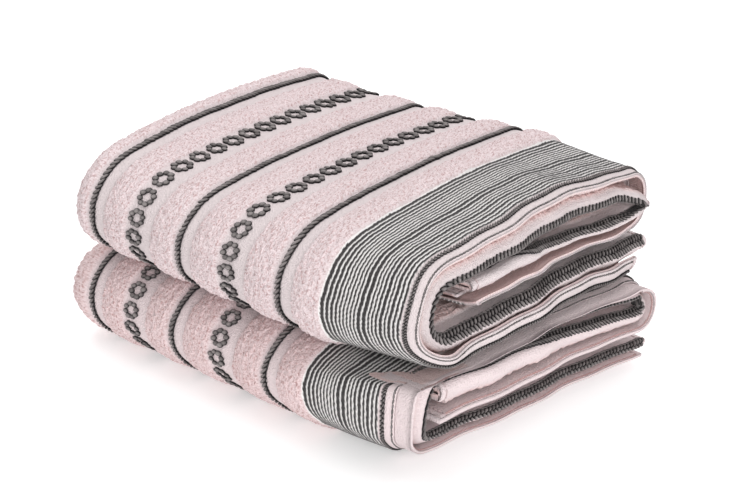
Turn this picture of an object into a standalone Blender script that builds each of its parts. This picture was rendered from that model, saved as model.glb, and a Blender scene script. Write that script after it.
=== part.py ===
"""Set of two folded bath towels, one stacked on the other.

Each towel is modelled as it is made and as it is folded. It starts flat, as a slab whose
coordinates are s across the towel's width, t along its length and w up through the cloth. The
slab is then folded in half and in half again along its length, which stacks four layers, and
that stack is folded in thirds across its width round one closed side, the spine. The raised
charcoal yarns, the braid and the hem threads start as strips on the flat towel and go through
the same folds, so each lies in its own flat-woven channel.

Frame: metres, +Z up, origin on the floor under the middle of the stack. +X points from the
closed fold to the end with the hems, and +Y from the spine to the back.
"""

from math import cos, pi, sin

import bmesh
import bpy

# Package, measured over all
FOLDED_LENGTH = 0.340
FOLDED_DEPTH = 0.266
LAYER_PITCH = 0.0068  # from one layer of cloth to the next
STACK_GAP = 0.0005  # air between the two towels
FLAP_INSET = 0.003  # the free long side stops this far short of the back

# Cloth
TOWEL_WIDTH = 0.752
TERRY = 0.0060
FLAT_WEAVE = 0.0038
STEP = 0.0005  # run of the slope between terry and flat weave
SELVEDGE = 0.008  # flat strip along each long side
REAR_HEM = 0.008  # flat strip along the hem that ends inside the fold
CLEARANCE = 0.0003  # air under a yarn
YARN_TOP = TERRY - 0.0001
YARN_INSET = 0.0058  # the yarns stop beside the seam thread of each long side

# Pattern, at distances from the hem of the outer layer
BORDER_END = 0.080
LINES_AT = (0.123, 0.225, 0.321)
DIAMONDS_AT = (0.175, 0.274)
LINE_WIDTH = 0.0058
LINE_CHANNEL = 0.0140
DIAMOND_WIDTH = 0.0165
DIAMOND_CHANNEL = 0.0225
DIAMOND_PITCH = 0.0165
DIAMOND_LINK = 0.0024  # width of the yarn between two diamonds
BEND_GAP = 0.0003  # a bend closer than this to a diamond's corner needs no line of its own
BORDER_CORD_AT = 0.0088
BORDER_CORD_WIDTH = 0.0036
BRAID_BEFORE = 0.0040  # the braid starts this far before the middle fold
BRAID_MARGIN = 0.0015

# Hem threads
HEM_THREAD_AT = 0.0018
HEM_THREAD_WIDTH = 0.0016
SIDE_THREAD_AT = 0.0045
SIDE_THREAD_WIDTH = 0.0012
SIDE_THREAD_HEIGHT = 0.0008
SIDE_THREAD_INSET = 0.001

# Steps that each fold is turned in
SPINE_STEPS = 8
BACK_STEPS = 6
OUTER_FOLD_STEPS = 6
INNER_FOLD_STEPS = 4
LEVEL_STEPS = 4  # steps across each level
RUN_STEPS = 6  # steps along each inner layer

# How each towel has settled
UPPER_HEMS = (-0.001, -0.006)  # where the outer layer's hem and the next one's end, from the fold
LOWER_HEMS = (-0.008, 0.010)
LOWER_SHIFT = -0.013
LOWER_SKEW = 0.024  # how much further the hem end stands out at the back
LOWER_FLARE = 0.06  # how much deeper the hem end is than the closed end
SKEW_CENTRE = 0.30
CROWN = 0.08
CROWN_LEVEL = 0.45
CROWN_POWER = 0.8
END_RISE = 0.18
RISE_FROM = -0.058

COLOURS = {
    "cloth": ((0.79, 0.66, 0.66), 0.95),
    "yarn": ((0.075, 0.068, 0.070), 0.80),
    "thread": ((0.72, 0.58, 0.58), 0.85),
}
SMOOTH_UNDER = pi / 4
TINY = 1e-7

half = TERRY / 2
level_pitch = 4 * LAYER_PITCH
stack_half = 1.5 * LAYER_PITCH + half
towel_height = 2 * level_pitch + 2 * stack_half
# Lengthwise folds: the centres along X of the closed folds and of the middle fold
closed_x = FOLDED_LENGTH / 2 - stack_half
middle_x = FOLDED_LENGTH / 2 - 0.5 * LAYER_PITCH - half
# Crosswise folds: the centres along Y of the spine and of the back fold
spine_y = level_pitch + stack_half
back_y = FOLDED_DEPTH - 0.5 * level_pitch - stack_half
end_y = FOLDED_DEPTH - FLAP_INSET


def chain(pieces):
    """Runs and arcs end to end, each as (start, length, kind, values), and their total length."""
    made = []
    start = 0.0
    for length, kind, values in pieces:
        made.append((start, length, kind, values))
        start += length
    return made, start


def along(pieces, distance):
    """The point of a chain at a distance, with the normal on its right."""
    reached = [piece for piece in pieces if distance > piece[0]] or pieces[:1]
    start, _, kind, values = reached[-1]
    part = distance - start
    if kind == "run":
        (u, v), (du, dv) = values
        return u + du * part, v + dv * part, dv, -du
    (u, v), radius, first, turn = values
    angle = first + turn * part / radius
    return u + radius * cos(angle), v + radius * sin(angle), turn * cos(angle), turn * sin(angle)


def bend_lines(fold, steps):
    start, length = fold[:2]
    return [start + length * i / steps for i in range(steps + 1)]


def between(start, end, count):
    return [start + (end - start) * i / count for i in range(1, count)]


# Across the towel: the inner flap, the back fold, the top, the spine and the bottom
turns = [
    (0.5 * level_pitch * pi, "arc", ((back_y, 1.5 * level_pitch), 0.5 * level_pitch, -pi / 2, 1)),
    (back_y - spine_y, "run", ((back_y, 2 * level_pitch), (-1, 0))),
    (level_pitch * pi, "arc", ((spine_y, level_pitch), level_pitch, pi / 2, 1)),
    (end_y - spine_y, "run", ((spine_y, 0), (1, 0))),
]
flap = TOWEL_WIDTH - sum(turn[0] for turn in turns)
width_chain, _ = chain([(flap, "run", ((back_y - flap, level_pitch), (1, 0)))] + turns)
BACK_LINES = bend_lines(width_chain[1], BACK_STEPS)
SPINE_LINES = bend_lines(width_chain[3], SPINE_STEPS)
BEND_LINES = (
    between(SELVEDGE, BACK_LINES[0], LEVEL_STEPS)
    + BACK_LINES
    + between(BACK_LINES[-1], SPINE_LINES[0], LEVEL_STEPS)
    + SPINE_LINES
    + between(SPINE_LINES[-1], TOWEL_WIDTH - SELVEDGE, LEVEL_STEPS)
)
YARN_LINES = [YARN_INSET] + BEND_LINES + [TOWEL_WIDTH - YARN_INSET]
SIDE_LINES = [SELVEDGE, SELVEDGE + STEP, TOWEL_WIDTH - SELVEDGE - STEP, TOWEL_WIDTH - SELVEDGE]
CLOTH_LINES = sorted([0.0, TOWEL_WIDTH] + SIDE_LINES + BEND_LINES)


class FoldedTowel:
    """One towel's cloth: how it is folded, where its channels run, and how it has settled."""

    def __init__(self, prefix, hems, settle, parent):
        self.prefix = prefix
        self.settle = settle
        self.parent = parent
        outer, inner = 1.5 * LAYER_PITCH, 0.5 * LAYER_PITCH
        outer_hem, inner_hem = (FOLDED_LENGTH / 2 + hem for hem in hems)
        self.chain, self.length = chain(
            [
                (outer_hem + closed_x, "run", ((outer_hem, outer), (-1, 0))),
                (outer * pi, "arc", ((-closed_x, 0), outer, pi / 2, 1)),
                (closed_x + middle_x, "run", ((-closed_x, -outer), (1, 0))),
                (inner * pi, "arc", ((middle_x, -LAYER_PITCH), inner, -pi / 2, 1)),
                (closed_x + middle_x, "run", ((middle_x, -inner), (-1, 0))),
                (inner * pi, "arc", ((-closed_x, 0), inner, -pi / 2, -1)),
                (closed_x + inner_hem, "run", ((-closed_x, inner), (1, 0))),
            ]
        )
        middle = self.chain[3]
        self.middle_lines = bend_lines(middle, INNER_FOLD_STEPS)
        self.braid = (middle[0] - BRAID_BEFORE, middle[0] + middle[1] / 2)
        fold_lines = self.middle_lines + bend_lines(self.chain[1], OUTER_FOLD_STEPS)
        fold_lines += bend_lines(self.chain[5], INNER_FOLD_STEPS)
        self.channels = [(-1.0, BORDER_END), (self.length - REAR_HEM, self.length + 1.0)]
        self.channels += [(at - LINE_CHANNEL / 2, at + LINE_CHANNEL / 2) for at in LINES_AT]
        self.channels += [(at - DIAMOND_CHANNEL / 2, at + DIAMOND_CHANNEL / 2) for at in DIAMONDS_AT]
        self.channels.append((self.braid[0] - BRAID_MARGIN, self.braid[1] + STEP))
        edges = [at for low, high in self.channels for at in (low - STEP, low, high, high + STEP)]
        inside = [at for at in edges if 0 < at < self.length]
        for start, length, _, _ in (self.chain[2], self.chain[4], self.chain[6]):
            inside += between(start, start + length, RUN_STEPS)
        self.lines = sorted({0.0, self.length, *fold_lines, *inside})

    def folded(self, s, t, w):
        """Where a point of the flat towel lies once the towel is folded and has settled."""
        x, layer, slope, outward = along(self.chain, t)
        layer += outward * (w - half)
        y, z, side, up = along(width_chain, s)
        place = (x + slope * (w - half), y + side * layer, z + up * layer + stack_half)
        return self.settle(*place)

    def front(self, s, t):
        """Height of the cloth's front: full in the terry, lower in channels and along the sides."""
        in_channel = any(low - TINY <= t <= high + TINY for low, high in self.channels)
        on_side = s < SELVEDGE + TINY or s > TOWEL_WIDTH - SELVEDGE - TINY
        return FLAT_WEAVE if in_channel or on_side else TERRY

    def slab(self, name, coat, s_lines, t_lines, bottom, top):
        """A slab over a grid of lines on the flat towel, extruded upwards and then folded.

        t_lines and top are functions, so that a yarn's width and the cloth's height may vary.
        """
        bm = bmesh.new()
        columns = len(s_lines) - 1
        rows = len(t_lines(s_lines[0])) - 1
        bmesh.ops.create_grid(bm, x_segments=columns, y_segments=rows, size=1)
        for vert in bm.verts:
            s = s_lines[round((vert.co.x + 1) / 2 * columns)]
            t = t_lines(s)[round((vert.co.y + 1) / 2 * rows)]
            vert.co = (s, t, bottom)
        # Every slab is split along the same diagonals, so a yarn follows the cloth round a fold.
        bmesh.ops.triangulate(bm, faces=list(bm.faces), quad_method="FIXED")
        extruded = bmesh.ops.extrude_face_region(bm, geom=list(bm.faces))["geom"]
        for vert in [item for item in extruded if isinstance(item, bmesh.types.BMVert)]:
            vert.co.z = top(vert.co.x, vert.co.y)
        for vert in bm.verts:
            vert.co = self.folded(*vert.co)
        bmesh.ops.triangulate(bm, faces=list(bm.faces))
        bmesh.ops.recalc_face_normals(bm, faces=list(bm.faces))
        mesh = bpy.data.meshes.new(name)
        bm.to_mesh(mesh)
        bm.free()
        mesh.shade_smooth()
        mesh.set_sharp_from_angle(angle=SMOOTH_UNDER)
        mesh.materials.append(coat)
        made = bpy.data.objects.new(f"{self.prefix}_{name}", mesh)
        made.parent = self.parent
        bpy.data.collections["bath_towel_set"].objects.link(made)
        return made

    def yarn(self, name, coat, s_lines, t_lines):
        """A yarn that fills its channel to just under the terry."""
        return self.slab(name, coat, s_lines, t_lines, FLAT_WEAVE + CLEARANCE, lambda s, t: YARN_TOP)

    def cross_yarn(self, name, coat, at, width):
        """A yarn of even width laid across the towel."""
        return self.yarn(name, coat, YARN_LINES, lambda s: [at - width / 2, at + width / 2])

    def diamond_row(self, name, coat, at):
        """A row of diamonds joined point to point by the yarn that runs through them."""
        count = int((TOWEL_WIDTH - 2 * SELVEDGE) / DIAMOND_PITCH)
        first = (TOWEL_WIDTH - count * DIAMOND_PITCH) / 2
        corners = [first + DIAMOND_PITCH * i / 2 for i in range(2 * count + 1)]
        bends = [
            bend
            for bend in BACK_LINES + SPINE_LINES
            if min(abs(bend - corner) for corner in corners) > BEND_GAP
        ]

        def edges(s):
            from_link = 0.5 - abs((s - first) / DIAMOND_PITCH % 1.0 - 0.5)
            reach = max(DIAMOND_WIDTH * from_link, DIAMOND_LINK / 2)
            return [at - reach, at + reach]

        return self.yarn(name, coat, sorted(corners + bends), edges)

    def middle_braid(self, name, coat):
        """The wide braid on the inner side of the middle fold."""
        lines = [self.braid[0]] + [t for t in self.middle_lines if t < self.braid[1] + TINY]
        return self.yarn(name, coat, YARN_LINES, lambda s: lines)

    def side_thread(self, name, coat, at):
        """The seam thread along one long side of the towel."""
        lines = [SIDE_THREAD_INSET, *self.lines[1:-1], self.length - SIDE_THREAD_INSET]
        s_lines = [at - SIDE_THREAD_WIDTH / 2, at + SIDE_THREAD_WIDTH / 2]
        low = FLAT_WEAVE + CLEARANCE
        high = low + SIDE_THREAD_HEIGHT
        return self.slab(name, coat, s_lines, lambda s: lines, low, lambda s, t: high)

    def make(self):
        cloth = material(self.prefix + "_terry_cotton", "cloth")
        yarn = material(self.prefix + "_charcoal_yarn", "yarn")
        thread = material(self.prefix + "_seam_thread", "thread")
        self.slab("cloth", cloth, CLOTH_LINES, lambda s: self.lines, 0.0, self.front)
        for number, at in enumerate(LINES_AT, 1):
            self.cross_yarn(f"twisted_line_{number}", yarn, at, LINE_WIDTH)
        for number, at in enumerate(DIAMONDS_AT, 1):
            self.diamond_row(f"diamond_row_{number}", yarn, at)
        self.cross_yarn("border_cord", yarn, BORDER_CORD_AT, BORDER_CORD_WIDTH)
        self.middle_braid("middle_braid", yarn)
        self.cross_yarn("outer_hem_stitch", yarn, HEM_THREAD_AT, HEM_THREAD_WIDTH)
        self.cross_yarn("inner_hem_stitch", yarn, self.length - HEM_THREAD_AT, HEM_THREAD_WIDTH)
        self.side_thread("flap_side_stitch", thread, SIDE_THREAD_AT)
        self.side_thread("bottom_side_stitch", thread, TOWEL_WIDTH - SIDE_THREAD_AT)


def lower_settled(x, y, z):
    """The lower towel: its hem end stands out further at the back."""
    towards_hem = 0.5 + x / FOLDED_LENGTH
    x += LOWER_SHIFT + LOWER_SKEW * (y / FOLDED_DEPTH - SKEW_CENTRE) * towards_hem
    return x, y * (1 + LOWER_FLARE * towards_hem), z


def upper_settled(x, y, z):
    """The upper towel: thinner at the spine, crowned over the middle, and loose at the hem end."""
    depth = min(max(y / FOLDED_DEPTH, 0.0), 1.0)
    crown = CROWN * (sin(pi * depth**CROWN_POWER) - CROWN_LEVEL)
    risen = max(x - RISE_FROM, 0.0) / (FOLDED_LENGTH / 2 - RISE_FROM)
    return x, y, z * (1 + crown + END_RISE * risen**2)


def material(name, kind):
    colour, roughness = COLOURS[kind]
    made = bpy.data.materials.new(name)
    made.use_nodes = True
    shader = made.node_tree.nodes["Principled BSDF"]
    shader.inputs["Base Color"].default_value = (*colour, 1)
    shader.inputs["Roughness"].default_value = roughness
    shader.inputs["Metallic"].default_value = 0
    made.diffuse_color = (*colour, 1)
    return made


def empty(name, group):
    made = bpy.data.objects.new(name, None)
    group.objects.link(made)
    return made


def main():
    for old in list(bpy.data.objects):
        bpy.data.objects.remove(old)
    group = bpy.data.collections.new("bath_towel_set")
    bpy.context.scene.collection.children.link(group)
    # Each towel hangs on its own empty. The upper one's slides along Z when the towel is lifted.
    lower = empty("lower_towel", group)
    upper = empty("upper_towel", group)
    FoldedTowel("lower", LOWER_HEMS, lower_settled, lower).make()
    FoldedTowel("upper", UPPER_HEMS, upper_settled, upper).make()
    points = [vert.co for part in group.objects if part.type == "MESH" for vert in part.data.vertices]
    for axis in (0, 1):
        values = [point[axis] for point in points]
        middle = (min(values) + max(values)) / 2
        lower.location[axis] = -middle
        upper.location[axis] = -middle
    upper.location.z = towel_height + STACK_GAP


main()
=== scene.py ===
"""Looks of the bath towel set: two folded terry towels with charcoal stripes, one on the other.

Every thread is placed on the flat towel, at s across its width, t along its length and w up through
the cloth, and then folded: in quarters along the length and in thirds across the width, as the CAD
nodes are. The folded cloth then settles: its crown, its sagging flap and the gaps between its levels
are smooth moves of the same points. Places are in metres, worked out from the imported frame.
"""

from math import cos, pi, radians, sin  # noqa: E402
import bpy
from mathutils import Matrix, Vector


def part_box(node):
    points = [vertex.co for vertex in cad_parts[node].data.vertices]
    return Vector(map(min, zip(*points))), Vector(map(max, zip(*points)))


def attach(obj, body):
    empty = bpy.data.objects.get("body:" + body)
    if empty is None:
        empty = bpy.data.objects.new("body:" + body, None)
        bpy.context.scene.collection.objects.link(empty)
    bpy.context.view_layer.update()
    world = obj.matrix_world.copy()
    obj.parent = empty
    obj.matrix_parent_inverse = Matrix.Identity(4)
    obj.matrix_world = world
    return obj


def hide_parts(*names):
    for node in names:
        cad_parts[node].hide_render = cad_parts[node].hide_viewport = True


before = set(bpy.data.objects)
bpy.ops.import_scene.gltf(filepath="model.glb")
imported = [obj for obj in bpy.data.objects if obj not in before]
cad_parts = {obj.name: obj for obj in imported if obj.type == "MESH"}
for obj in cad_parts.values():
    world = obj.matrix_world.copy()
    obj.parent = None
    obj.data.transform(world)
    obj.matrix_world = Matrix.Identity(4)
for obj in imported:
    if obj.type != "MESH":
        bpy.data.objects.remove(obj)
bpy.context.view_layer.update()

from types import SimpleNamespace  # noqa: E402

import bpy  # noqa: E402
import numpy as np  # noqa: E402
from mathutils import Vector  # noqa: E402

# The package, read from the CAD nodes
UPPER_LOW, UPPER_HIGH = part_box("upper_cloth")
SPINE_Y = UPPER_LOW.y
BACK_Y = UPPER_HIGH.y
MIDDLE_X = (UPPER_LOW.x + UPPER_HIGH.x) / 2
FOLDED_LENGTH = 0.340
FOLDED_DEPTH = BACK_Y - SPINE_Y
TOWEL_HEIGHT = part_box("lower_cloth")[1].z
UPPER_BASE = UPPER_LOW.z

# Cloth and its folds, as in the CAD
LAYER_PITCH = 0.0068
TERRY = 0.0060
FLAT_WEAVE = 0.0038
TOWEL_WIDTH = 0.752
FLAP_INSET = 0.003
SELVEDGE = 0.008
HEM_CURL = 0.020
HALF_TERRY = TERRY / 2
OUTER_LAYER, INNER_LAYER_AT = 1.5 * LAYER_PITCH, 0.5 * LAYER_PITCH  # from the middle of a level
LEVEL_PITCH = 4 * LAYER_PITCH
STACK_HALF = OUTER_LAYER + HALF_TERRY
CLOSED_X = FOLDED_LENGTH / 2 - STACK_HALF
MIDDLE_FOLD_X = FOLDED_LENGTH / 2 - INNER_LAYER_AT - HALF_TERRY
SPINE_TURN_Y = LEVEL_PITCH + STACK_HALF
BACK_TURN_Y = FOLDED_DEPTH - 0.5 * LEVEL_PITCH - STACK_HALF
BOTTOM_END_Y = FOLDED_DEPTH - FLAP_INSET

# Pattern, at distances from the hem of the outer layer
BAND = (0.0125, 0.0828)
LINES_AT = (0.123, 0.225, 0.321)
DIAMONDS_AT = (0.175, 0.274)
LINE_CHANNEL = (0.0120, 0.0042)  # flat weave before and after the middle of a line
DIAMOND_CHANNEL = (0.0175, 0.0082)
BORDER_CORD_AT = 0.0088
HEM_THREAD_AT = 0.0016
BRAID_PAST_FOLD = (0.0012, -0.0004, 0.0012)  # on the top level, the flap and the bottom level
LOWER_PAST_END = 0.008  # how far the lower towel's closed end reaches past the CAD node's


def smooth(value, start, end):
    """0 up to start, 1 from end on, and a smooth change between them."""
    part = np.clip((value - start) / (end - start), 0.0, 1.0)
    return part * part * (3 - 2 * part)


def chain(pieces):
    """Runs and arcs laid end to end, each with the distance it starts at, and their whole length."""
    made = []
    start = 0.0
    for length, kind, values in pieces:
        made.append((start, length, kind, values))
        start += length
    return made, start


def along(pieces, distance):
    """Points of a chain at these distances, with the normals on its right."""
    starts = np.array([piece[0] for piece in pieces])
    which = np.clip(np.searchsorted(starts, distance, side="left") - 1, 0, len(pieces) - 1)
    u, v, nu, nv = (np.zeros_like(distance) for _ in range(4))
    for number, (start, _, kind, values) in enumerate(pieces):
        here = which == number
        part = distance[here] - start
        if kind == "run":
            (u0, v0), (du, dv) = values
            u[here], v[here], nu[here], nv[here] = u0 + du * part, v0 + dv * part, dv, -du
        else:
            (u0, v0), radius, first, turn = values
            angle = first + turn * part / radius
            u[here] = u0 + radius * np.cos(angle)
            v[here] = v0 + radius * np.sin(angle)
            nu[here], nv[here] = turn * np.cos(angle), turn * np.sin(angle)
    return u, v, nu, nv


# The section across the width: the flap's level, the back fold, the top, the spine and the bottom level
turns = [
    (0.5 * LEVEL_PITCH * pi, "arc", ((BACK_TURN_Y, 1.5 * LEVEL_PITCH), 0.5 * LEVEL_PITCH, -pi / 2, 1)),
    (BACK_TURN_Y - SPINE_TURN_Y, "run", ((BACK_TURN_Y, 2 * LEVEL_PITCH), (-1, 0))),
    (LEVEL_PITCH * pi, "arc", ((SPINE_TURN_Y, LEVEL_PITCH), LEVEL_PITCH, pi / 2, 1)),
    (BOTTOM_END_Y - SPINE_TURN_Y, "run", ((SPINE_TURN_Y, 0), (1, 0))),
]
flap = TOWEL_WIDTH - sum(turn[0] for turn in turns)
width_chain, _ = chain([(flap, "run", ((BACK_TURN_Y - flap, LEVEL_PITCH), (1, 0)))] + turns)
BACK_ARC, TOP_RUN, SPINE_ARC, BOTTOM_RUN = (piece[0] for piece in width_chain[1:])


def lengths(layer):
    """The real length along the cloth at this layer, for a table of s, so that stitches stay even."""
    s = np.linspace(0.0, TOWEL_WIDTH, 6001)
    stretch = np.ones_like(s)
    for start, length, kind, values in width_chain:
        if kind == "arc":
            stretch[(s >= start) & (s <= start + length)] = max(1 + layer / values[1], 0.2)
    return s, np.concatenate([[0.0], np.cumsum(stretch[1:] * np.diff(s))])


FACING_OUT = lengths(STACK_HALF)
FACING_IN = lengths(-STACK_HALF)
INNER_LAYER = lengths(INNER_LAYER_AT + HALF_TERRY)


class Towel:
    """One towel: its folds along the length, and the shape it has settled into.

    hems: how far the outer and the inner hem reach past the package's end. fold_reach: the same for
    the middle fold. rear_hem: the flat strip at the inner hem. braid_under: how far the middle braid
    goes back under the top. tucked: how much of the flap hides the braid, and by how much. curl: the
    angle the outer hem turns by at s. settle: moves folded points to where they lie at rest.
    """

    def __init__(self, prefix, hems, fold_reach, rear_hem, braid_under, tucked, curl, settle):
        self.prefix = prefix
        self.braid_under = braid_under
        self.tucked = tucked
        self.rear_hem = rear_hem
        self.curl = curl
        self.settle = settle
        fold_x = MIDDLE_FOLD_X + fold_reach
        outer, inner = OUTER_LAYER, INNER_LAYER_AT
        self.hem_x, inner_hem = (FOLDED_LENGTH / 2 + hem for hem in hems)
        self.chain, self.length = chain(
            [
                (self.hem_x + CLOSED_X, "run", ((self.hem_x, outer), (-1, 0))),
                (outer * pi, "arc", ((-CLOSED_X, 0), outer, pi / 2, 1)),
                (CLOSED_X + fold_x, "run", ((-CLOSED_X, -outer), (1, 0))),
                (inner * pi, "arc", ((fold_x, -LAYER_PITCH), inner, -pi / 2, 1)),
                (CLOSED_X + fold_x, "run", ((fold_x, -inner), (-1, 0))),
                (inner * pi, "arc", ((-CLOSED_X, 0), inner, -pi / 2, -1)),
                (CLOSED_X + inner_hem, "run", ((-CLOSED_X, inner), (1, 0))),
            ]
        )
        end, fold = self.chain[1], self.chain[3]
        self.end_t, self.past_end = end[0], end[0] + end[1]
        self.fold_t, self.past_fold = fold[0], fold[0] + fold[1]

    def place(self, s, t, w):
        """Where points of the flat towel lie once it is folded and has settled, as an N by 3 array."""
        s, t, w = (np.asarray(a, float).ravel() for a in np.broadcast_arrays(s, t, w))
        x, layer, slope, outward = along(self.chain, t)
        turn = self.curl(s)
        angle = turn * np.clip(1 - t / HEM_CURL, 0.0, 1.0)
        bend = turn / HEM_CURL
        curled = t < HEM_CURL
        x = np.where(curled, self.hem_x - HEM_CURL + np.sin(angle) / bend, x)
        layer = np.where(curled, layer - (1 - np.cos(angle)) / bend, layer)
        slope = np.where(curled, np.sin(angle), slope)
        outward = np.where(curled, np.cos(angle), outward)
        layer = layer + outward * (w - HALF_TERRY)
        y, z, side, up = along(width_chain, s)
        x = x + slope * (w - HALF_TERRY)
        y = y + side * layer
        z = z + up * layer + STACK_HALF
        return self.settle(s, t, x, y, z)


def wave(position, *parts):
    """A smooth wander: parts are (size, wavelength, phase)."""
    return sum(size * np.sin(2 * pi * position / length + phase) for size, length, phase in parts)


def to_frame(x, y, z):
    """From the package's middle along x and its spine along y to the frame that the nodes share."""
    return np.stack([x + MIDDLE_X, y + SPINE_Y, z], axis=1)


def up_and_down(z, first, middle, last):
    """0 at first, 1 at middle and 0 at last: how a gap between levels lifts the one above it."""
    return smooth(z, first, middle) * (1 - smooth(z, middle, last))


# Regions of a folded towel: x from its middle to the hem end, deep as a share of the way from spine to back
HEM_HALF = (0.020, 0.165)
HEM_END = (0.060, 0.170)
HEM_TIP = (0.100, 0.170)
CORNER_X, CORNER_DEEP = (0.050, 0.170), (0.55, 1.05)
SPINE_REACH = 0.060
UNDER_REACH = 0.050
LAST_SIDE = 0.100
LEVEL_TOPS = (LEVEL_PITCH - 0.0004, 2 * LEVEL_PITCH - 0.0004)


def regions(s, x, y, z, deepest):
    """How far points belong to each region of the folded towel, from 0 to 1."""
    deep = np.clip(y / FOLDED_DEPTH, 0.0, deepest)
    return SimpleNamespace(
        deep=deep,
        hem_half=smooth(x, *HEM_HALF),
        hem_end=smooth(x, *HEM_END),
        hem_tip=smooth(x, *HEM_TIP),
        corner=smooth(x, *CORNER_X) * smooth(deep, *CORNER_DEEP),
        spine=1 - smooth(y, 0.0, SPINE_REACH),
        under=1 - smooth(z, 0.0, UNDER_REACH),
        in_flap=s < TOP_RUN,
        last_side=smooth(s, TOWEL_WIDTH - LAST_SIDE, TOWEL_WIDTH),
        between_low=up_and_down(z, 0.0, *LEVEL_TOPS),
        between_high=up_and_down(z, *LEVEL_TOPS, TOWEL_HEIGHT),
    )


UPPER_LOW_POINT = -0.058  # where along x the upper towel's top is lowest
CLEAR_OF_FLOOR = 0.0002


def near_middle_fold(t):
    return np.exp(-(((t - upper.fold_t) / 0.030) ** 2))


def upper_height(s, t, x, z, at):
    """Heights in the upper towel, which crowns between spine and back and swells towards its hem end."""
    closed = np.clip((UPPER_LOW_POINT - x) / 0.096, 0, 1.2)
    hemward = np.clip(x - UPPER_LOW_POINT, 0, 1) / 0.225
    crown = 1 - (0.165 + 0.045 * closed) * (1 - at.deep) ** 3.6 - 0.070 * at.deep**4
    rise = 1.065 + 0.10 * closed**2 + 0.25 * hemward**1.4
    stretch = crown * rise * (1 - 0.09 * at.corner)
    # The flap rests on the bottom level, and the top sags towards it behind the middle
    over = np.clip((s - BACK_ARC) / (TOP_RUN - BACK_ARC), 0, 1)
    sag = 0.010 * smooth(at.deep, 0.30, 0.75) * (1 - smooth(at.deep, 0.84, 0.96))
    low_gap = np.where(at.in_flap, 0.005, 0.0003 + 0.002 * smooth(at.deep, 0.45, 0.95)) * at.hem_half
    high_gap = (0.006 * smooth(at.deep, 0.5, 1.0) - sag * (1 - over)) * at.hem_half
    height = z * stretch + low_gap * at.between_low + high_gap * at.between_high
    # The back corner droops, and the hem end lifts off the lower towel under the spine
    height = height - 0.004 * at.corner + 0.011 * at.spine * at.under * smooth(x, 0.07, 0.17)
    return height - 0.010 * near_middle_fold(t) * smooth(at.deep, 0.80, 0.94) * smooth(z, 0.050, 0.057)


def upper_settled(s, t, x, y, z):
    """Moves the folded points of the upper towel to where they lie, in the frame."""
    at = regions(s, x, y, z, 1.0)
    new_x = x - 0.003 * smooth(-x, 0.150, 0.172) + 0.001
    new_x = new_x - 0.005 * at.spine * at.hem_tip
    new_x = new_x + at.hem_end * wave(y + 0.6 * z, (0.0016, 0.11, 0.4), (0.0009, 0.047, 2.0))
    # At the back the outer hem draws in and the inner fold pushes out between its halves
    back = np.exp(-(((s - (BACK_ARC + TOP_RUN) / 2) / 0.034) ** 2))
    new_x = new_x + back * (0.008 * near_middle_fold(t) - 0.002 * (1 - smooth(t, 0.0, 0.06)))
    low = smooth(s, SPINE_ARC + 0.03, BOTTOM_RUN)
    inner_hem = smooth(t, upper.length - 0.05, upper.length)
    new_x = new_x - 0.012 * (low + at.in_flap) * inner_hem + 0.006 * low * (1 - smooth(t, 0.02, 0.06))
    # The spine bulges and the flap's edge turns back from it
    new_y = y * (1 + 0.055 * smooth(x, -0.155, -0.06) - 0.018 * at.hem_end)
    new_y = new_y - (0.0078 - 0.0035 * at.hem_tip) * at.spine
    new_y = new_y + 0.005 * back * near_middle_fold(t) + 0.028 * (1 - smooth(s, 0.0, 0.13))
    new_y = new_y - 0.017 * at.last_side * (1 - smooth(t, 0.0, 0.10))
    return to_frame(new_x, new_y, upper_height(s, t, x, z, at) + UPPER_BASE)


def lower_height(z, at):
    """Heights in the lower towel, pressed down at its back corner, with its levels open at the hem end."""
    low_gap = np.where(at.in_flap, 0.003, 0.003 - 0.006 * at.deep) * at.hem_half
    high_gap = (0.022 - 0.004 * smooth(at.deep, 0.05, 0.35) - 0.008 * smooth(at.deep, 0.6, 1.0)) * at.hem_half
    high_gap = high_gap - np.where(at.in_flap, 0.007 * smooth(at.deep, 0.35, 0.75), 0.0) * at.hem_half
    height = z * (1 - 0.03 * at.corner) + low_gap * at.between_low + high_gap * at.between_high
    return np.maximum(height, CLEAR_OF_FLOOR)


def lower_settled(s, t, x, y, z):
    """The same for the lower towel, whose closed end stands further out."""
    x = x - LOWER_PAST_END
    at = regions(s, x, y, z, 1.1)
    towards_hem = 0.5 + x / FOLDED_LENGTH
    above = smooth(z, 0.012, 0.034)
    new_x = 0.975 * x - 0.0035 + 0.016 * (at.deep - 0.25) * towards_hem - 0.0135 * smooth(-x, 0.163, 0.182)
    # The hem end is undercut where it meets what it lies on
    new_x = new_x - at.under * (0.026 - 0.020 * at.deep) * at.hem_end + above * 0.005 * at.deep * at.hem_end
    new_x = new_x + at.hem_end * wave(y + 0.6 * z, (0.0016, 0.13, 1.4), (0.0008, 0.051, 0.3))
    # The package widens above, and its spine bulges over an edge drawn in below
    new_y = y * (1 + (0.02 + 0.028 * above) * towards_hem)
    new_y = new_y + (0.004 + 0.016 * towards_hem) * at.under * at.spine
    new_y = new_y - (0.0055 - 0.0035 * at.hem_tip) * at.spine
    new_y = new_y - 0.011 * at.last_side * (1 - smooth(t, 0.0, 0.10))
    return to_frame(new_x, new_y, lower_height(z, at))


def upper_curl(s):
    """The outer hem turns down over the levels, and most of all on the bottom level."""
    over_spine = 0.15 * smooth(s, SPINE_ARC, SPINE_ARC + 0.04)
    return 0.40 + over_spine + 0.95 * smooth(s, SPINE_ARC + 0.05, BOTTOM_RUN + 0.02)


def lower_curl(s):
    return 0.35 + 0.2 * smooth(s, SPINE_ARC + 0.05, BOTTOM_RUN + 0.02)


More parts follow.
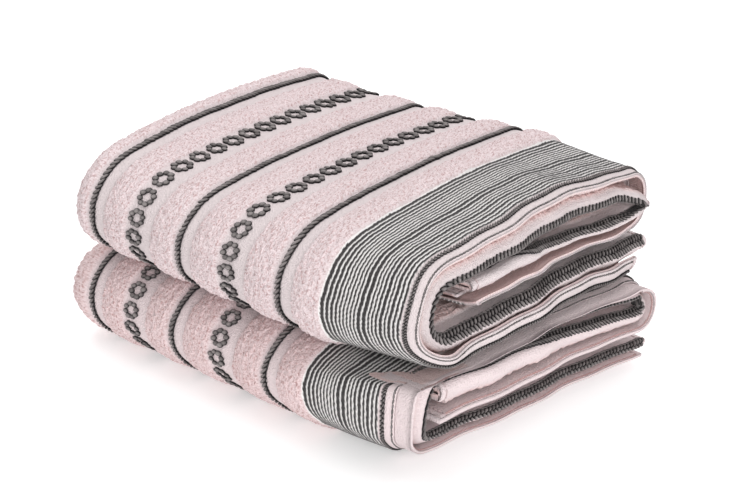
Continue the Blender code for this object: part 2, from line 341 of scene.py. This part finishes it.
upper = Towel(
    "upper",
    hems=(0.001, -0.005),
    fold_reach=0.0,
    rear_hem=0.0,
    braid_under=0.0,
    tucked=(0.035, 0.0075),
    curl=upper_curl,
    settle=upper_settled,
)
lower = Towel(
    "lower",
    hems=(LOWER_PAST_END - 0.010, LOWER_PAST_END + 0.004),
    fold_reach=LOWER_PAST_END + 0.004,
    rear_hem=0.036,
    braid_under=0.0030,
    tucked=(0.075, 0.0035),
    curl=lower_curl,
    settle=lower_settled,
)


def steps(start, end, size):
    """Even steps of about this size from start up to, not including, end."""
    return list(np.linspace(start, end, max(int(round((end - start) / size)), 1), endpoint=False))


def from_channel(t, channels):
    """How far points are from the nearest flat channel: 0 in a channel."""
    edge = np.full_like(t, 1.0)
    for low, high in channels:
        outside = np.maximum(low - t, t - high)
        edge = np.minimum(edge, np.maximum(outside, 0.0))
    return edge


def quads(rows, columns, flip=False):
    """The faces of a grid of points, as index rows."""
    index = np.arange(rows * columns).reshape(rows, columns)
    corners = (index[:-1, :-1], index[1:, :-1], index[1:, 1:], index[:-1, 1:])
    faces = np.stack([corner.ravel() for corner in corners], axis=1)
    return faces[:, ::-1] if flip else faces


def new_mesh(name, points, faces, material):
    """A mesh object from points and a list of face index arrays, smooth shaded."""
    mesh = bpy.data.meshes.new(name)
    sizes = np.concatenate([np.full(len(block), block.shape[1]) for block in faces])
    corners = np.concatenate([block.ravel() for block in faces]).astype(np.int32)
    mesh.vertices.add(len(points))
    mesh.vertices.foreach_set("co", points.astype(np.float32).ravel())
    mesh.loops.add(len(corners))
    mesh.loops.foreach_set("vertex_index", corners)
    mesh.polygons.add(len(sizes))
    starts = np.concatenate([[0], np.cumsum(sizes)[:-1]]).astype(np.int32)
    mesh.polygons.foreach_set("loop_start", starts)
    mesh.polygons.foreach_set("use_smooth", np.ones(len(sizes), bool))
    mesh.update(calc_edges=True)
    mesh.validate()
    mesh.materials.append(material)
    made = bpy.data.objects.new(name, mesh)
    bpy.context.scene.collection.objects.link(made)
    return made


def attribute(made, name, kind, values):
    """Stores values on the points of a mesh, for its material to read."""
    layer = made.data.attributes.new(name, kind, "POINT")
    field = "vector" if kind == "FLOAT_VECTOR" else "value"
    layer.data.foreach_set(field, np.asarray(values, np.float32).ravel())


# Steps of the cloth's grid, in each of its stretches
HEM_STEP, TERRY_STEP, INSIDE_STEP, FOLD_STEP, REAR_STEP = 0.0006, 0.0010, 0.006, 0.0009, 0.0012
FLAP_STEP, SPINE_STEP, BOTTOM_STEP = 0.0018, 0.0008, 0.0018
PAST_BAND = 0.002
FOLD_MARGIN, REAR_MARGIN = 0.03, 0.045
BACK_STRIDE = 4
UNDERSIDE = 0.0002  # the cloth's lower face
TERRY_EDGE = 0.0030  # the width over which terry rises from a channel
PAD_SWELL, PAD_EDGE = 0.0024, 0.012
LOOP_HEIGHT, LINE_HEIGHT, WEAVE_GRAIN = 0.00046, 0.00045, 0.00003
LOOP_LIMIT = 1.8
GRAIN_SEED = {"upper": 7, "lower": 8}
# Widths of the border's dark lines from the terry to the hem, as shares of the band
DARK_LINES = (4.0, 3.5, 3.3, 2.8, 2.3, 2.2, 2.2, 2.2, 2.3, 4.0, 4.2, 2.3, 2.2, 2.8, 3.6, 2.3, 3.4, 2.5, 2.4)
PALE_SHARE = 1.68
LINE_EDGE = 0.00022


def band_darkness(t, s_real):
    """1 on the border's dark lines and 0 on the pale ones, with edges that wander with the twist."""
    twist = 0.00020 * np.sin(2 * pi * s_real / 0.0038 + 900 * t)
    wander = twist + wave(s_real, (0.00025, 0.037, 0.0), (0.0002, 0.013, 1.0))
    place = (BAND[1] - (t + wander)) / (BAND[1] - BAND[0])
    total = sum(DARK_LINES) + PALE_SHARE * (len(DARK_LINES) - 1)
    dark = np.zeros_like(t)
    start = 0.0
    edge = LINE_EDGE / (BAND[1] - BAND[0])
    for width in DARK_LINES:
        low, high = start / total, (start + width) / total
        line = smooth(place, low - edge, low + edge) * (1 - smooth(place, high - edge, high + edge))
        dark = np.maximum(dark, line)
        start += width + PALE_SHARE
    return dark


BORDER_CORD_WIDTH, MIDDLE_BRAID_WIDTH = 0.0028, 0.0078
BRAID_CHANNEL = (0.015, -0.002)  # flat weave before the middle fold starts and after it ends
YARN_INSET = 0.006  # from the towel's sides to the ends of its yarns


def braid_at(towel, s):
    """The middle braid lies just past the start of the middle fold, and before it on the flap."""
    top, flap_level, bottom = BRAID_PAST_FOLD
    past = flap_level + (top - flap_level) * smooth(s, BACK_ARC, TOP_RUN)
    on_top = smooth(s, TOP_RUN + 0.06, TOP_RUN + 0.14) * (1 - smooth(s, SPINE_ARC, BOTTOM_RUN))
    past = past - towel.braid_under * on_top
    tucked_until, tucked_by = towel.tucked
    past = past - tucked_by * (1 - smooth(s, tucked_until, tucked_until + 0.05))
    return towel.fold_t + past + (bottom - top) * smooth(s, SPINE_ARC, BOTTOM_RUN)


def under_yarn(towel, s, s_real, t):
    """1 under the charcoal ropes, rings and braids: painted near-black there, for the shade under and between
    the stitches on a charcoal ground.
    """
    dark = np.zeros_like(t)
    for at, width in ((BORDER_CORD_AT, BORDER_CORD_WIDTH), (braid_at(towel, s), MIDDLE_BRAID_WIDTH)):
        dark = np.maximum(dark, 1 - smooth(np.abs(t - at), width / 2 - 0.0006, width / 2 + 0.0004))
    for number, at in enumerate(LINES_AT, 1):
        away = np.abs(t - at - line_wander(s_real, number))
        dark = np.maximum(dark, 1 - smooth(away, 0.0016, 0.0026))
    for number, at in enumerate(DIAMONDS_AT, 1):
        middles = motif_middles(towel, number)
        nearest = np.clip(np.round((s_real - middles[0]) / MOTIF_PITCH), 0, len(middles) - 1)
        across = s_real - middles[0] - nearest * MOTIF_PITCH
        away = t - at - motif_wander(s_real, number)
        from_ring = np.hypot(across / MOTIF_REACH[0], away / MOTIF_REACH[1])
        dark = np.maximum(dark, 1 - smooth(np.abs(from_ring - 1), 0.08, 0.20))
    return dark * ((s > YARN_INSET) & (s < TOWEL_WIDTH - YARN_INSET))


def grid_lines(towel):
    """Where the cloth's grid lines lie across and along it, closer where it bends or has a pattern."""
    fold, past_fold = towel.fold_t - FOLD_MARGIN, towel.past_fold + FOLD_MARGIN
    t_lines = steps(0, BAND[1] + PAST_BAND, HEM_STEP)
    t_lines += steps(BAND[1] + PAST_BAND, towel.end_t, TERRY_STEP)
    t_lines += steps(towel.end_t, towel.past_end, TERRY_STEP)
    t_lines += steps(towel.past_end, fold, INSIDE_STEP)
    t_lines += steps(fold, past_fold, FOLD_STEP)
    t_lines += steps(past_fold, towel.length - REAR_MARGIN, INSIDE_STEP)
    t_lines += steps(towel.length - REAR_MARGIN, towel.length, REAR_STEP) + [towel.length]
    s_lines = steps(0, BACK_ARC, FLAP_STEP) + steps(BACK_ARC, TOP_RUN, TERRY_STEP)
    s_lines += steps(TOP_RUN, SPINE_ARC, TERRY_STEP) + steps(SPINE_ARC, BOTTOM_RUN, SPINE_STEP)
    s_lines += steps(BOTTOM_RUN, TOWEL_WIDTH, BOTTOM_STEP) + [TOWEL_WIDTH]
    # Both counts are made whole multiples of the back's stride, so that the two sides meet
    for lines in (t_lines, s_lines):
        while (len(lines) - 1) % BACK_STRIDE:
            lines.insert(-1, (lines[-1] + lines[-2]) / 2)
    return np.array(s_lines), np.array(t_lines)


def relief(towel, s, t, s_real):
    """Height of the cloth's face, and where it is terry, border and dark: dark marks the border's lines and
    the painted shade under the stitches.
    """
    channels = [(-1, BAND[1]), (towel.length - towel.rear_hem, towel.length + 1)]
    channels += [(towel.fold_t - BRAID_CHANNEL[0], towel.past_fold + BRAID_CHANNEL[1])]
    channels += [(at - LINE_CHANNEL[0], at + LINE_CHANNEL[1]) for at in LINES_AT]
    channels += [(at - DIAMOND_CHANNEL[0], at + DIAMOND_CHANNEL[1]) for at in DIAMONDS_AT]
    edge = from_channel(t + 0.0006 * np.sin(s_real / 0.009) * np.sin(s_real / 0.023 + 1), channels)
    side = np.minimum(s, TOWEL_WIDTH - s)
    terry = smooth(edge, 0.0, TERRY_EDGE) * smooth(side, SELVEDGE - 0.001, SELVEDGE + 0.001)
    outside = (t < towel.past_end) & (t > BAND[1])
    swell = np.where(outside, PAD_SWELL * (1 - np.exp(-edge / PAD_EDGE)), 0.0)
    swell = swell * (1 - smooth(s, SPINE_ARC + 0.045, BOTTOM_RUN))

    rng = np.random.default_rng(GRAIN_SEED[towel.prefix])
    grain = rng.standard_normal(s.shape)
    loops = (grain + np.roll(grain, 1, 0) + np.roll(grain, 1, 1) + np.roll(np.roll(grain, 1, 0), 1, 1)) / 2
    loops = np.clip(loops, -LOOP_LIMIT, LOOP_LIMIT)
    in_band = (t > BAND[0]) & (t < BAND[1] + 0.001)
    # Dark: the border's woven dark lines, and painted shade under and between the charcoal stitches
    dark = np.maximum(np.where(in_band, band_darkness(t, s_real), 0.0), under_yarn(towel, s, s_real, t))
    top = FLAT_WEAVE + terry * (TERRY - FLAT_WEAVE + swell + LOOP_HEIGHT * loops)
    top = top + LINE_HEIGHT * dark * in_band + (1 - terry) * WEAVE_GRAIN * loops
    top[0, :] = top[-1, :] = top[:, 0] = top[:, -1] = FLAT_WEAVE * 0.8
    return top, terry, in_band, dark


def edge_walls(face, back):
    """Faces along the four edges, each joining one step of the back to a stride of steps of the face."""
    walls = []
    for fine, coarse, flip in (
        (face[0], back[0], False),
        (face[-1], back[-1], True),
        (face[:, 0], back[:, 0], True),
        (face[:, -1], back[:, -1], False),
    ):
        wall = []
        for i in range(len(coarse) - 1):
            stride = fine[i * BACK_STRIDE : (i + 1) * BACK_STRIDE + 1]
            wall.append(np.concatenate([stride, [coarse[i + 1], coarse[i]]]))
        walls.append(np.array(wall)[:, ::-1] if flip else np.array(wall))
    return walls


def make_cloth(towel, material):
    """The cloth as one closed sheet: a fine face with its relief, and a coarser back."""
    s, t = np.meshgrid(*grid_lines(towel), indexing="ij")
    s_real = np.interp(s, *FACING_OUT)
    top, terry, in_band, dark = relief(towel, s, t, s_real)
    back_s, back_t, back_real = (values[::BACK_STRIDE, ::BACK_STRIDE] for values in (s, t, s_real))
    face_points = towel.place(s, t, top)
    back_points = towel.place(back_s, back_t, np.full(back_s.shape, UNDERSIDE))
    face = np.arange(s.size).reshape(s.shape)
    back = np.arange(back_s.size).reshape(back_s.shape) + s.size
    faces = [quads(*s.shape, flip=True), quads(*back_s.shape) + s.size] + edge_walls(face, back)
    points = np.concatenate([face_points, back_points])
    made = new_mesh(towel.prefix + "_towel_cloth", points, faces, material)

    def on_both(name, on_face, on_back):
        attribute(made, name, "FLOAT", np.concatenate([on_face.ravel(), on_back.ravel()]))

    flat_real = np.concatenate([s_real.ravel(), back_real.ravel()])
    flat_t = np.concatenate([t.ravel(), back_t.ravel()])
    attribute(made, "flat", "FLOAT_VECTOR", np.stack([flat_real, flat_t, np.zeros_like(flat_t)], axis=1))
    on_both("terry", terry, (back_t < towel.length - towel.rear_hem).astype(float))
    # Dark carries the border's lines and the painted shade under the stitches
    on_both("dark", dark, np.zeros(back_s.size))
    on_both("band", in_band.astype(float), np.zeros(back_s.size))
    # Inside: the inner layers and the back, whose terry is painted redder and darker for the shade in the
    # folds
    on_both("inside", smooth(t, towel.past_end + 0.01, towel.past_end + 0.04), np.ones(back_s.size))
    return made


ROUND, RINGS = 8, 5
STITCH_TURN, STITCH_SPREAD = 0.07, 0.06  # how unevenly stitches are turned and sized
STITCH_INSET = 0.0003
STRAND_SHIFT = 40  # so that no two stitches have the same fibres


def blob():
    """A rounded stitch, one unit in radius, longest along its first axis: points and faces."""
    tilt = np.linspace(0.1 * pi, 0.9 * pi, RINGS)
    turn = np.arange(ROUND) * 2 * pi / ROUND
    tilt, turn = np.meshgrid(tilt, turn, indexing="ij")
    points = np.stack([np.cos(tilt) * 1.05, np.sin(tilt) * np.cos(turn), np.sin(tilt) * np.sin(turn)], axis=2)
    ring = np.arange(ROUND)
    after = (ring + 1) % ROUND
    sides = []
    for lower_ring in range(RINGS - 1):
        start, end = lower_ring * ROUND, (lower_ring + 1) * ROUND
        sides.append(np.stack([start + ring, start + after, end + after, end + ring], axis=1))
    caps = np.array([ring[::-1], (RINGS - 1) * ROUND + ring])
    return points.reshape(-1, 3), np.concatenate(sides), caps


BLOB_POINTS, BLOB_SIDES, BLOB_CAPS = blob()


def stitches(towel, name, coat, table, real, t, angle, measures, w, seed):
    """Rounded stitches on the flat towel, at real lengths along the cloth and at t, folded with it.

    The angle is turned from the direction across the towel towards t. The measures are a stitch's
    length, width and height.
    """
    real, t, angle, length, width, height, w = np.broadcast_arrays(real, t, angle, *measures, w)
    rng = np.random.default_rng(seed)
    count = real.size
    angle = angle + rng.normal(0, STITCH_TURN, count)
    size = 1 + rng.normal(0, STITCH_SPREAD, count)
    one, two, three = (BLOB_POINTS[:, i][None, :] for i in range(3))
    a = one * (length * size / 2)[:, None]
    b = two * (width * size / 2)[:, None]
    turned_real = real[:, None] + a * np.cos(angle)[:, None] - b * np.sin(angle)[:, None]
    turned_t = t[:, None] + a * np.sin(angle)[:, None] + b * np.cos(angle)[:, None]
    turned_w = w[:, None] + three * (height * size / 2)[:, None]
    s = np.interp(turned_real, table[1], table[0])
    points = towel.place(s, np.clip(turned_t, STITCH_INSET, towel.length - STITCH_INSET), turned_w)
    first = (np.arange(count) * len(BLOB_POINTS))[:, None, None]
    faces = [(first + BLOB_SIDES[None]).reshape(-1, 4), (first + BLOB_CAPS[None]).reshape(-1, ROUND)]
    made = new_mesh(f"{towel.prefix}_{name}", points, faces, coat)
    attribute(made, "tone", "FLOAT", np.repeat(rng.random(count), len(BLOB_POINTS)))
    # Each point's height on its stitch, which the yarn material paints as a highlight on top and shade down
    # the sides
    attribute(made, "crest", "FLOAT", np.tile(BLOB_POINTS[:, 2], count))
    strand = np.broadcast_to(BLOB_POINTS[None], (count, len(BLOB_POINTS), 3)).copy()
    strand[:, :, 0] *= (length / width)[:, None]
    strand += rng.random((count, 1, 3)) * STRAND_SHIFT
    attribute(made, "strand", "FLOAT_VECTOR", strand.reshape(-1, 3))
    return made


# Each stitch's length, width and height, its pitch along the yarn, and how far it is turned
LINE_PITCH, LINE_STITCH, LINE_SLANT = 0.0039, (0.0078, 0.0027, 0.0034), 0.70
DIAMOND_STITCH, DIAMOND_SLANT = (0.0056, 0.0042, 0.0030), pi / 2 - 0.12
RING_STITCHES = 8
BRAID_SLANT, BRAID_LENGTH, BRAID_WIDTH = 0.72, 1.6, 0.52  # shares of the row's width and of the pitch
HEM_PITCH, HEM_STITCH, HEM_SLANT = 0.0026, (0.0029, 0.0015, 0.0013), 0.12
SIDE_PITCH, SIDE_STITCH, SIDE_INSET = 0.0042, (0.0033, 0.0011, 0.0010), 0.0045
# How high up through the cloth the middle of each kind of stitch lies
ABOVE_WEAVE = {
    "line": FLAT_WEAVE + 0.0010,
    "diamond": FLAT_WEAVE + 0.0008,
    "braid": FLAT_WEAVE + 0.0006,
    "side": FLAT_WEAVE + 0.0003,
    "hem": FLAT_WEAVE,
}
MOTIF_PITCH = 0.0169
MOTIF_INSETS = (0.014, 0.008)
MOTIF_START = {"upper": (0.0080, 0.0100), "lower": (0.0070, 0.0)}  # how far each row is moved along
MOTIF_REACH = (0.0055, 0.0062)  # from the middle of a diamond to its stitches, across and along the towel


def evenly(table, pitch, inset=0.0065):
    """Real lengths at an even pitch from one side of the towel to the other."""
    start, end = np.interp([inset, TOWEL_WIDTH - inset], *table)
    return np.linspace(start, end, int((end - start) / pitch))


def line_wander(real, number):
    return wave(real, (0.0004, 0.09, number), (0.0002, 0.031, 0.5))


def twisted_line(towel, number, coat):
    """Two strands twisted round each other, which show as slanting turns."""
    real = evenly(FACING_OUT, LINE_PITCH)
    at = LINES_AT[number - 1] + line_wander(real, number)
    return stitches(towel, f"twisted_line_{number}", coat, FACING_OUT, real, at, LINE_SLANT, LINE_STITCH,
                    ABOVE_WEAVE["line"], 10 + number)


def motif_middles(towel, number):
    """Real lengths of the middles of one row of diamonds, from one side of the towel to the other."""
    start, end = np.interp([MOTIF_INSETS[0], TOWEL_WIDTH - MOTIF_INSETS[1]], *FACING_OUT)
    return np.arange(start + MOTIF_START[towel.prefix][number - 1], end, MOTIF_PITCH)


def motif_wander(real, number):
    return wave(real, (0.0004, 0.12, number))


def diamond_row(towel, number, coat):
    """A row of diamonds, each a ring of floats that all run along the towel."""
    middles = motif_middles(towel, number)
    turn = (np.arange(RING_STITCHES) + 0.5) * 2 * pi / RING_STITCHES
    ring_real = middles[:, None] + MOTIF_REACH[0] * np.cos(turn)[None]
    at = DIAMONDS_AT[number - 1] + motif_wander(middles, number)
    ring_t = at[:, None] + MOTIF_REACH[1] * np.sin(turn)[None]
    return stitches(towel, f"diamond_row_{number}", coat, FACING_OUT, ring_real.ravel(), ring_t.ravel(),
                    DIAMOND_SLANT, DIAMOND_STITCH, ABOVE_WEAVE["diamond"], 20 + number)


def braid(towel, name, coat, table, at, rows, row_width, pitch, height, seed):
    """Rows of stitches that slant one way and then the other, side by side."""
    real = evenly(table, pitch)
    offsets = (np.arange(rows) - (rows - 1) / 2) * row_width
    all_real = (real[:, None] + pitch * 0.5 * (np.arange(rows) % 2)[None]).ravel()
    all_t = (np.broadcast_to(at, real.shape)[:, None] + offsets[None]).ravel()
    angle = np.tile(np.where(np.arange(rows) % 2, -BRAID_SLANT, BRAID_SLANT), real.size)
    measures = (row_width * BRAID_LENGTH, pitch * BRAID_WIDTH, height)
    return stitches(towel, name, coat, table, all_real, all_t, angle, measures, ABOVE_WEAVE["braid"], seed)


def hem_stitch(towel, name, coat, table, at, seed):
    """Stitching along the crest of a hem."""
    real = evenly(table, HEM_PITCH)
    return stitches(towel, name, coat, table, real, at, HEM_SLANT, HEM_STITCH, ABOVE_WEAVE["hem"], seed)


def side_stitch(towel, name, coat, s, seed):
    """Running stitches down one long side of the towel."""
    t = np.arange(0.002, towel.length - 0.002, SIDE_PITCH)
    real = np.full_like(t, np.interp(s, *FACING_OUT))
    return stitches(towel, name, coat, FACING_OUT, real, t, pi / 2, SIDE_STITCH, ABOVE_WEAVE["side"], seed)


def floor_material():
    """A white studio floor that glows a little, so that it stays white round the towels."""
    made = bpy.data.materials.new("floor")
    made.use_nodes = True
    shader = made.node_tree.nodes["Principled BSDF"]
    shader.inputs["Base Color"].default_value = (0.9, 0.9, 0.9, 1)
    shader.inputs["Roughness"].default_value = 0.9
    shader.inputs["Emission Color"].default_value = (1, 1, 1, 1)
    shader.inputs["Emission Strength"].default_value = 0.32
    return made


def linked(nodes, links):
    """Short forms for a material: put(socket, value), read(attribute), add(type, settings, inputs), mix."""

    def put(socket, value):
        if hasattr(value, "is_output"):
            links.new(value, socket)
        elif isinstance(value, tuple) and len(value) == 3 and socket.type == "RGBA":
            socket.default_value = (*value, 1)
        else:
            socket.default_value = value

    def read(attribute_name, output="Fac"):
        node = nodes.new("ShaderNodeAttribute")
        node.attribute_name = attribute_name
        return node.outputs[output]

    def add(kind, settings, inputs, output=0):
        node = nodes.new("ShaderNode" + kind)
        for name, value in settings.items():
            setattr(node, name, value)
        for key, value in inputs.items():
            put(node.inputs[key], value)
        return node.outputs[output]

    def mix(factor, first, second):
        return add("Mix", {"data_type": "RGBA"}, {0: factor, 6: first, 7: second}, 2)

    return put, read, add, mix


PALE_BAND = ((0.92, 0.89, 0.88), (0.82, 0.79, 0.78))
# Charcoal of the border's dark lines, also painted near-black under the stitches as their shade
DARK_WEAVE_AND_STITCH_SHADE = ((0.012, 0.010, 0.011), (0.060, 0.054, 0.055))


def cloth_material(name, colours):
    """Terry loops in fine rows with painted shade in the pores between them, flat weave in the channels, and
    the border's lines; the inner layers' terry and the weave under the stitches carry painted shade too.
    """
    made = bpy.data.materials.new(name)
    made.use_nodes = True
    nodes, links = made.node_tree.nodes, made.node_tree.links
    shader = nodes["Principled BSDF"]
    shader.inputs["Specular IOR Level"].default_value = 0.12
    shader.inputs["Sheen Weight"].default_value = 0.12
    shader.inputs["Sheen Roughness"].default_value = 0.6
    put, read, add, mix = linked(nodes, links)
    pile, pile_shade, pore_shade, ground, ground_shade, inner, inner_rib_shade = colours

    flat = read("flat", "Vector")
    loops = add("TexVoronoi", {}, {"Vector": flat, "Scale": 900.0}, "Distance")
    clumps = add("TexNoise", {}, {"Vector": flat, "Scale": 430.0, "Detail": 1.0}, "Fac")
    patches = add("TexNoise", {}, {"Vector": flat, "Scale": 28.0, "Detail": 2.0}, "Fac")
    along_t, across = {"bands_direction": "Y"}, {"bands_direction": "X"}
    threads = add("TexWave", along_t, {"Vector": flat, "Scale": 330.0, "Distortion": 1.5}, "Fac")
    ribs = add("TexWave", across, {"Vector": flat, "Scale": 130.0, "Distortion": 2.0}, "Fac")
    # Pores: painted shade in the gaps between the terry loops, deeper in clumps and rows
    pore_shade_share = add("MapRange", {}, {"Value": loops, "From Min": 0.28, "From Max": 0.72})
    clumped = add("MapRange", {}, {"Value": clumps, "From Min": 0.35, "From Max": 0.62, "To Min": 0.25})
    uneven_rows = {"Vector": flat, "Scale": 150.0, "Distortion": 6.0, "Detail": 2.0}
    rows = add("TexWave", along_t, uneven_rows, "Fac")
    rowed = add("MapRange", {}, {"Value": rows, "To Min": 0.55, "To Max": 1.25})
    in_clumps = add("Math", {"operation": "MULTIPLY"}, {0: pore_shade_share, 1: clumped})
    deep = add("Math", {"operation": "MULTIPLY"}, {0: in_clumps, 1: rowed})
    loops_colour = mix(deep, mix(patches, pile, pile_shade), pore_shade)
    # Inner layers: ribbed terry painted redder, with painted shade in its ribs and pores, for the shade and
    # pink bounce light in the folds
    ribbed = mix(ribs, inner_rib_shade, inner)
    fade = add("Math", {"operation": "MULTIPLY"}, {0: deep, 1: 0.6})
    loops_colour = mix(read("inside"), loops_colour, mix(fade, ribbed, inner_rib_shade))
    weave = mix(add("MapRange", {}, {"Value": threads, "To Max": 0.6}), ground, ground_shade)
    cloth = mix(read("terry"), weave, loops_colour)
    ground_cloth = mix(read("band"), cloth, mix(threads, *PALE_BAND))
    # Dark: the border's dark lines, and painted near-black shade under the stitches
    put(shader.inputs["Base Color"], mix(read("dark"), ground_cloth, mix(clumps, *DARK_WEAVE_AND_STITCH_SHADE)))
    put(shader.inputs["Roughness"], add("MapRange", {}, {"Value": clumps, "To Min": 0.85, "To Max": 1.0}))
    height = add("Math", {"operation": "MULTIPLY_ADD"}, {0: threads, 1: 0.12, 2: loops})
    bump = add("Bump", {}, {"Strength": 0.8, "Distance": 0.0009, "Height": height}, "Normal")
    put(shader.inputs["Normal"], bump)
    return made


def yarn_material(name, side_shade_colour, crest_highlight_colour):
    """Spun yarn: its colour with a painted highlight along the crest of each stitch and painted shade down
    its sides, with fibres along it.
    """
    made = bpy.data.materials.new(name)
    made.use_nodes = True
    nodes, links = made.node_tree.nodes, made.node_tree.links
    shader = nodes["Principled BSDF"]
    shader.inputs["Specular IOR Level"].default_value = 0.15
    shader.inputs["Sheen Weight"].default_value = 0.06
    shader.inputs["Sheen Roughness"].default_value = 0.5
    put, read, add, mix = linked(nodes, links)
    fibres = add("TexNoise", {}, {"Vector": read("strand", "Vector"), "Scale": 2.6, "Detail": 3.0}, "Fac")
    # Painted highlight on each stitch's crest and painted shade down its sides, fixed in the colour whatever
    # the lamps do
    crest = add("MapRange", {}, {"Value": read("crest"), "From Min": 0.15, "From Max": 0.95})
    uneven = add("Math", {"operation": "MULTIPLY_ADD"}, {0: read("tone"), 1: 0.35, 2: fibres})
    highlight_share = add("Math", {"operation": "MULTIPLY"}, {0: crest, 1: uneven})
    put(shader.inputs["Base Color"], mix(highlight_share, side_shade_colour, crest_highlight_colour))
    put(shader.inputs["Roughness"], add("MapRange", {}, {"Value": fibres, "To Min": 0.75, "To Max": 0.95}))
    bump = add("Bump", {}, {"Strength": 0.5, "Distance": 0.0004, "Height": fibres}, "Normal")
    put(shader.inputs["Normal"], bump)
    return made


# Each yarn's colour with painted shade down its sides, and with a painted highlight along its crest
YARN_COLOURS = {
    "charcoal": ((0.010, 0.008, 0.009), (0.36, 0.325, 0.32)),
    "rose_thread": ((0.36, 0.20, 0.19), (0.66, 0.48, 0.47)),
    "pale_thread": ((0.45, 0.34, 0.34), (0.80, 0.68, 0.69)),
}
CORD = {"rows": 2, "row_width": 0.0016, "pitch": 0.0024, "height": 0.0022}
BRAID = {"rows": 3, "row_width": 0.0029, "pitch": 0.0033, "height": 0.0032}


def make_yarns(towel):
    """Every yarn and seam thread of one towel, each a piece that stands for its CAD node."""
    charcoal, rose, pale = (
        yarn_material(f"{towel.prefix}_{name}", *colours) for name, colours in YARN_COLOURS.items()
    )
    made = {f"twisted_line_{n}": twisted_line(towel, n, charcoal) for n in (1, 2, 3)}
    made.update({f"diamond_row_{n}": diamond_row(towel, n, charcoal) for n in (1, 2)})
    braid_s = np.interp(evenly(FACING_IN, BRAID["pitch"]), FACING_IN[1], FACING_IN[0])
    for name, table, at, form, seed in (
        ("border_cord", FACING_OUT, BORDER_CORD_AT, CORD, 31),
        ("middle_braid", FACING_IN, braid_at(towel, braid_s), BRAID, 32),
    ):
        made[name] = braid(towel, name, charcoal, table, at, seed=seed, **form)
    for name, coat, table, at, seed in (
        ("outer_hem_stitch", charcoal, FACING_OUT, HEM_THREAD_AT, 33),
        ("inner_hem_stitch", rose, INNER_LAYER, towel.length - HEM_THREAD_AT, 34),
    ):
        made[name] = hem_stitch(towel, name, coat, table, at, seed)
    sides = (("flap_side_stitch", SIDE_INSET, 35), ("bottom_side_stitch", TOWEL_WIDTH - SIDE_INSET, 36))
    for name, s, seed in sides:
        made[name] = side_stitch(towel, name, pale, s, seed)
    for node, piece in made.items():
        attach(piece, towel.prefix + "_towel")
        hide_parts(f"{towel.prefix}_{node}")
        piece.name = f"{towel.prefix}_towel_{node}"
    return list(made.values())


def make_camera():
    """A long lens that looks down on the front corner."""
    azimuth, elevation, distance = radians(42.0), radians(25.2), 1.368
    target = Vector((MIDDLE_X - 0.019, SPINE_Y + 0.161, 0.080))
    back = Vector((sin(azimuth) * cos(elevation), -cos(azimuth) * cos(elevation), sin(elevation)))
    lens = bpy.data.cameras.new("camera")
    lens.lens = 85
    lens.sensor_width = 36
    made = bpy.data.objects.new("camera", lens)
    bpy.context.scene.collection.objects.link(made)
    made.location = target + back * distance
    made.rotation_mode = "QUATERNION"
    made.rotation_quaternion = (-back).to_track_quat("-Z", "Y")
    bpy.context.scene.camera = made


def make_stage():
    """A plain floor, an even pale surround and three soft lamps that face the towels."""
    out, down = 4.0, -0.0004
    points = np.array([[-out, -out, down], [out, -out, down], [out, out, down], [-out, out, down]])
    floor = new_mesh("floor", points, [np.array([[0, 1, 2, 3]])], floor_material())
    world = bpy.data.worlds.new("studio")
    bpy.context.scene.world = world
    world.use_nodes = True
    surround = world.node_tree.nodes["Background"]
    surround.inputs["Color"].default_value = (1, 1, 1, 1)
    surround.inputs["Strength"].default_value = 0.37
    for name, place, size, power in (
        ("overhead", (-0.1, 0.1, 2.2), 2.4, 35),
        ("front", (1.62, -1.18, 0.80), 1.5, 24),
        ("rear", (-1.6, 1.5, 0.9), 1.8, 15),
    ):
        lamp = bpy.data.lights.new(name, "AREA")
        lamp.size = size
        lamp.energy = power
        made = bpy.data.objects.new(name, lamp)
        bpy.context.scene.collection.objects.link(made)
        made.location = place
        made.rotation_mode = "QUATERNION"
        made.rotation_quaternion = (-Vector(place)).to_track_quat("-Z", "Y")


# Loop, shaded loop, pore with painted shade, flat weave, its shade, and the ribbed terry of the inner layers,
# painted redder and darker in its ribs for the shade in the folds
CLOTH_COLOURS = {
    "upper": (
        (0.86, 0.745, 0.76),
        (0.80, 0.68, 0.695),
        (0.52, 0.35, 0.35),
        (0.75, 0.658, 0.664),
        (0.71, 0.62, 0.626),
        (0.88, 0.71, 0.70),
        (0.70, 0.49, 0.47),
    ),
    "lower": (
        (0.87, 0.715, 0.725),
        (0.80, 0.63, 0.635),
        (0.50, 0.31, 0.30),
        (0.80, 0.68, 0.69),
        (0.76, 0.64, 0.645),
        (0.90, 0.73, 0.72),
        (0.72, 0.51, 0.49),
    ),
}

make_camera()
make_stage()
bpy.context.scene.view_settings.view_transform = "Standard"
for towel in (lower, upper):
    cloth = make_cloth(towel, cloth_material(towel.prefix + "_terry", CLOTH_COLOURS[towel.prefix]))
    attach(cloth, towel.prefix + "_towel")
    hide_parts(towel.prefix + "_cloth")
    yarns = make_yarns(towel)
